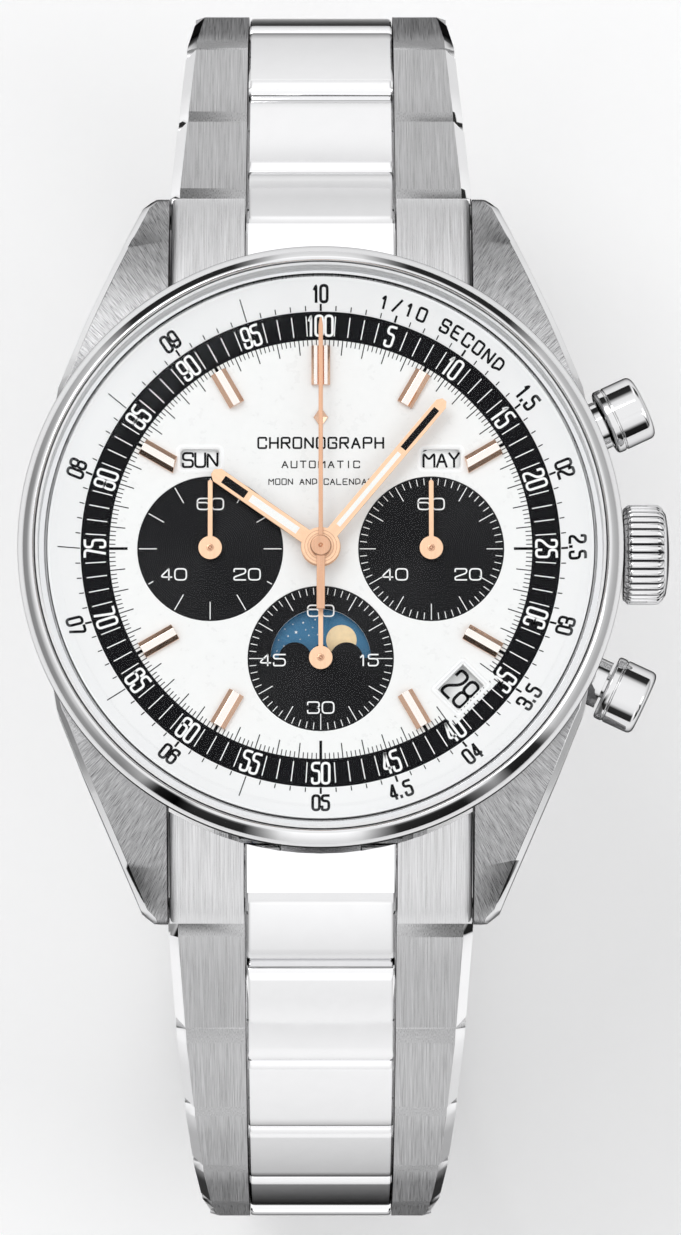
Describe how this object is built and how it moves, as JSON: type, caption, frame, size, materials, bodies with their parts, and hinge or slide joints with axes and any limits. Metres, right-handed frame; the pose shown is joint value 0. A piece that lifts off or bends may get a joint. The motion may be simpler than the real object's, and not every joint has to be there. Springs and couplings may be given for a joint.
{
  "type": "chronograph wristwatch",
  "caption": "Round steel chronograph wristwatch with sub-dials, a calendar, two pushers and a hinged three-row bracelet closed by a folding clasp.",
  "frame": {"origin": "centre of the case back's flat outer face, on the hands' axis", "axes": "+Z out of the dial, +Y to 12 o'clock, +X to the crown at 3 o'clock"},
  "size_m": [0.0411, 0.0801, 0.0638],
  "materials": {
    "brushed_steel": "satin, brushed along each link and radially on the lugs, with polished centre links",
    "polished_steel": "mirror polished",
    "sapphire": "clear, polished",
    "gasket": "matt",
    "dial_white": "fine satin lacquer",
    "moon_blue": "satin lacquer",
    "rose_gold": "polished",
    "plated_brass": "plated, striped and grained",
    "train_steel": "fine satin",
    "gilt_brass": "gilt",
    "blued_steel": "heat blued",
    "ruby": "polished"
  },
  "bodies": {
    "case": {"mid_case": "brushed_steel", "bezel": "polished_steel", "crystal": "sapphire", "crystal_gasket": "gasket", "flange_ring": "dial_white", "dial": "dial_white", "hour_markers": "rose_gold", "case_back": "brushed_steel", "back_crystal": "sapphire", "case_tubes": "polished_steel", "movement_ring": "plated_brass", "main_plate": "plated_brass", "bridges": "plated_brass", "bridge_screws": "blued_steel", "jewels": "ruby", "end_links": "brushed_steel"},
    "balance": {"balance_wheel": "gilt_brass", "hairspring": "blued_steel"},
    "winding_rotor": {"winding_rotor": "plated_brass"},
    "mainspring_barrel": {"mainspring_barrel": "gilt_brass"},
    "escape_wheel": {"escape_wheel": "train_steel"},
    "pallet_fork": {"pallet_fork": "train_steel"},
    "column_wheel": {"column_wheel": "train_steel"},
    "crown": {"crown": "polished_steel"},
    "setting_lever": {"setting_lever": "train_steel"},
    "pusher_start": {"pusher_start": "polished_steel"},
    "pusher_reset": {"pusher_reset": "polished_steel"},
    "hour_hand": {"hour_hand": "rose_gold"},
    "minute_hand": {"minute_hand": "rose_gold"},
    "chrono_hand": {"chrono_hand": "rose_gold"},
    "running_seconds_hand": {"running_seconds_hand": "rose_gold"},
    "counter_seconds_hand": {"counter_seconds_hand": "rose_gold"},
    "counter_minutes_hand": {"counter_minutes_hand": "rose_gold"},
    "date_ring": {"date_ring": "dial_white"},
    "day_disc": {"day_disc": "dial_white"},
    "month_disc": {"month_disc": "dial_white"},
    "moon_disc": {"moon_disc": "moon_blue"},
    "upper_link_1": {"upper_link_1": "brushed_steel"},
    "upper_link_2": {"upper_link_2": "brushed_steel"},
    "upper_link_3": {"upper_link_3": "brushed_steel"},
    "upper_link_4": {"upper_link_4": "brushed_steel"},
    "upper_link_5": {"upper_link_5": "brushed_steel"},
    "upper_link_6": {"upper_link_6": "brushed_steel"},
    "upper_link_7": {"upper_link_7": "brushed_steel"},
    "upper_link_8": {"upper_link_8": "brushed_steel"},
    "lower_link_1": {"lower_link_1": "brushed_steel"},
    "lower_link_2": {"lower_link_2": "brushed_steel"},
    "lower_link_3": {"lower_link_3": "brushed_steel"},
    "lower_link_4": {"lower_link_4": "brushed_steel"},
    "lower_link_5": {"lower_link_5": "brushed_steel"},
    "lower_link_6": {"lower_link_6": "brushed_steel"},
    "lower_link_7": {"lower_link_7": "brushed_steel"},
    "lower_link_8": {"lower_link_8": "brushed_steel"},
    "clasp_cover": {"clasp_cover": "brushed_steel"},
    "clasp_long_blade": {"clasp_long_blade": "polished_steel"},
    "clasp_short_blade": {"clasp_short_blade": "polished_steel"},
    "clasp_button_left": {"clasp_button_left": "polished_steel"},
    "clasp_button_right": {"clasp_button_right": "polished_steel"}
  },
  "joints": [
    {"name": "minute_turn", "type": "hinge", "parent": "case", "child": "minute_hand", "pos_m": [0, 0, 0.0094], "axis": [0, 0, -1], "continuous": true},
    {"name": "hour_turn", "type": "hinge", "parent": "case", "child": "hour_hand", "pos_m": [0, 0, 0.00905], "axis": [0, 0, -1], "continuous": true},
    {"name": "chrono_turn", "type": "hinge", "parent": "case", "child": "chrono_hand", "pos_m": [0, 0, 0.00975], "axis": [0, 0, -1], "continuous": true},
    {"name": "running_seconds_turn", "type": "hinge", "parent": "case", "child": "running_seconds_hand", "pos_m": [-0.00695, 0, 0.00865], "axis": [0, 0, -1], "continuous": true},
    {"name": "counter_seconds_turn", "type": "hinge", "parent": "case", "child": "counter_seconds_hand", "pos_m": [0.00695, 0, 0.00865], "axis": [0, 0, -1], "continuous": true},
    {"name": "counter_minutes_turn", "type": "hinge", "parent": "case", "child": "counter_minutes_hand", "pos_m": [0, -0.00695, 0.00865], "axis": [0, 0, -1], "continuous": true},
    {"name": "date_turn", "type": "hinge", "parent": "case", "child": "date_ring", "pos_m": [0, 0, 0.0069], "axis": [0, 0, -1], "continuous": true},
    {"name": "day_turn", "type": "hinge", "parent": "case", "child": "day_disc", "pos_m": [-0.0046, 0.0057, 0.0074], "axis": [0, 0, -1], "continuous": true},
    {"name": "month_turn", "type": "hinge", "parent": "case", "child": "month_disc", "pos_m": [0.0046, 0.0057, 0.0074], "axis": [0, 0, -1], "continuous": true},
    {"name": "moon_turn", "type": "hinge", "parent": "case", "child": "moon_disc", "pos_m": [0, -0.00695, 0.0074], "axis": [0, 0, -1], "continuous": true},
    {"name": "rotor_turn", "type": "hinge", "parent": "case", "child": "winding_rotor", "pos_m": [0, 0, 0.0025], "axis": [0, 0, 1], "continuous": true},
    {"name": "barrel_turn", "type": "hinge", "parent": "case", "child": "mainspring_barrel", "pos_m": [0.0072, 0.007, 0.0045], "axis": [0, 0, 1], "continuous": true},
    {"name": "escape_turn", "type": "hinge", "parent": "case", "child": "escape_wheel", "pos_m": [-0.001, -0.0098, 0.0043], "axis": [0, 0, 1], "continuous": true},
    {"name": "fork_rock", "type": "hinge", "parent": "case", "child": "pallet_fork", "pos_m": [-0.0026, -0.0069, 0.0045], "axis": [0, 0, 1], "range_deg": [-6, 6]},
    {"name": "balance_swing", "type": "hinge", "parent": "case", "child": "balance", "pos_m": [-0.0063, -0.007, 0.0042], "axis": [0, 0, 1], "range_deg": [-150, 150]},
    {"name": "column_turn", "type": "hinge", "parent": "case", "child": "column_wheel", "pos_m": [0.0079, -0.0074, 0.0043], "axis": [0, 0, 1], "continuous": true},
    {"name": "crown_pull", "type": "slide", "parent": "case", "child": "setting_lever", "axis": [1, 0, 0], "range_m": [0, 0.0012]},
    {"name": "crown_turn", "type": "hinge", "parent": "setting_lever", "child": "crown", "pos_m": [0.019, 0, 0.0054], "axis": [1, 0, 0], "continuous": true},
    {"name": "pusher_start_press", "type": "slide", "parent": "case", "child": "pusher_start", "axis": [-0.9063, -0.4226, 0], "range_m": [0, 0.0008], "stiffness_N_per_m": 400, "springref_m": -0.002},
    {"name": "pusher_reset_press", "type": "slide", "parent": "case", "child": "pusher_reset", "axis": [-0.9063, 0.4226, 0], "range_m": [0, 0.0008], "stiffness_N_per_m": 400, "springref_m": -0.002},
    {"name": "upper_hinge_1", "type": "hinge", "parent": "case", "child": "upper_link_1", "pos_m": [0, 0.0228, 0.0022], "axis": [1, 0, 0], "range_deg": [0, 14]},
    {"name": "upper_hinge_2", "type": "hinge", "parent": "upper_link_1", "child": "upper_link_2", "pos_m": [0, 0.02889, -0.00329], "axis": [1, 0, 0], "range_deg": [0, 10]},
    {"name": "upper_hinge_3", "type": "hinge", "parent": "upper_link_2", "child": "upper_link_3", "pos_m": [0, 0.03479, -0.00898], "axis": [1, 0, 0], "range_deg": [0, 30]},
    {"name": "upper_hinge_4", "type": "hinge", "parent": "upper_link_3", "child": "upper_link_4", "pos_m": [0, 0.03813, -0.01647], "axis": [1, 0, 0], "range_deg": [0, 31]},
    {"name": "upper_hinge_5", "type": "hinge", "parent": "upper_link_4", "child": "upper_link_5", "pos_m": [0, 0.03827, -0.02467], "axis": [1, 0, 0], "range_deg": [0, 25]},
    {"name": "upper_hinge_6", "type": "hinge", "parent": "upper_link_5", "child": "upper_link_6", "pos_m": [0, 0.03601, -0.03256], "axis": [1, 0, 0], "range_deg": [0, 26]},
    {"name": "upper_hinge_7", "type": "hinge", "parent": "upper_link_6", "child": "upper_link_7", "pos_m": [0, 0.03143, -0.03935], "axis": [1, 0, 0], "range_deg": [0, 26]},
    {"name": "upper_hinge_8", "type": "hinge", "parent": "upper_link_7", "child": "upper_link_8", "pos_m": [0, 0.02496, -0.0444], "axis": [1, 0, 0], "range_deg": [0, 26]},
    {"name": "lower_hinge_1", "type": "hinge", "parent": "case", "child": "lower_link_1", "pos_m": [0, -0.0228, 0.0022], "axis": [-1, 0, 0], "range_deg": [0, 13]},
    {"name": "lower_hinge_2", "type": "hinge", "parent": "lower_link_1", "child": "lower_link_2", "pos_m": [0, -0.02899, -0.00318], "axis": [-1, 0, 0], "range_deg": [0, 26]},
    {"name": "lower_hinge_3", "type": "hinge", "parent": "lower_link_2", "child": "lower_link_3", "pos_m": [0, -0.03321, -0.01021], "axis": [-1, 0, 0], "range_deg": [0, 16]},
    {"name": "lower_hinge_4", "type": "hinge", "parent": "lower_link_3", "child": "lower_link_4", "pos_m": [0, -0.03642, -0.01776], "axis": [-1, 0, 0], "range_deg": [0, 18]},
    {"name": "lower_hinge_5", "type": "hinge", "parent": "lower_link_4", "child": "lower_link_5", "pos_m": [0, -0.03826, -0.02575], "axis": [-1, 0, 0], "range_deg": [0, 18]},
    {"name": "lower_hinge_6", "type": "hinge", "parent": "lower_link_5", "child": "lower_link_6", "pos_m": [0, -0.03869, -0.03394], "axis": [-1, 0, 0], "range_deg": [0, 35]},
    {"name": "lower_hinge_7", "type": "hinge", "parent": "lower_link_6", "child": "lower_link_7", "pos_m": [0, -0.03535, -0.04143], "axis": [-1, 0, 0], "range_deg": [0, 34]},
    {"name": "lower_hinge_8", "type": "hinge", "parent": "lower_link_7", "child": "lower_link_8", "pos_m": [0, -0.02907, -0.0467], "axis": [-1, 0, 0], "range_deg": [0, 32]},
    {"name": "fork_hinge", "type": "hinge", "parent": "upper_link_8", "child": "clasp_short_blade", "pos_m": [0, 0.01726, -0.04721], "axis": [1, 0, 0], "range_deg": [0, 40]},
    {"name": "knee_hinge", "type": "hinge", "parent": "clasp_short_blade", "child": "clasp_long_blade", "pos_m": [0, -0.014, -0.04783], "axis": [-1, 0, 0], "range_deg": [0, 85]},
    {"name": "cover_hinge", "type": "hinge", "parent": "clasp_long_blade", "child": "clasp_cover", "pos_m": [0, 0.0105, -0.04846], "axis": [1, 0, 0], "range_deg": [0, 145]},
    {"name": "clasp_button_left_press", "type": "slide", "parent": "clasp_cover", "child": "clasp_button_left", "axis": [1, 0, 0], "range_m": [0, 0.0004], "stiffness_N_per_m": 300, "springref_m": -0.001},
    {"name": "clasp_button_right_press", "type": "slide", "parent": "clasp_cover", "child": "clasp_button_right", "axis": [-1, 0, 0], "range_m": [0, 0.0004], "stiffness_N_per_m": 300, "springref_m": -0.001}
  ],
  "couplings": [
    {"joint": "hour_turn", "follows": "minute_turn", "ratio": 0.083333},
    {"joint": "running_seconds_turn", "follows": "escape_turn", "ratio": 0.083333},
    {"joint": "counter_seconds_turn", "follows": "chrono_turn", "ratio": 0.16667},
    {"joint": "counter_minutes_turn", "follows": "chrono_turn", "ratio": 0.0027778}
  ]
}
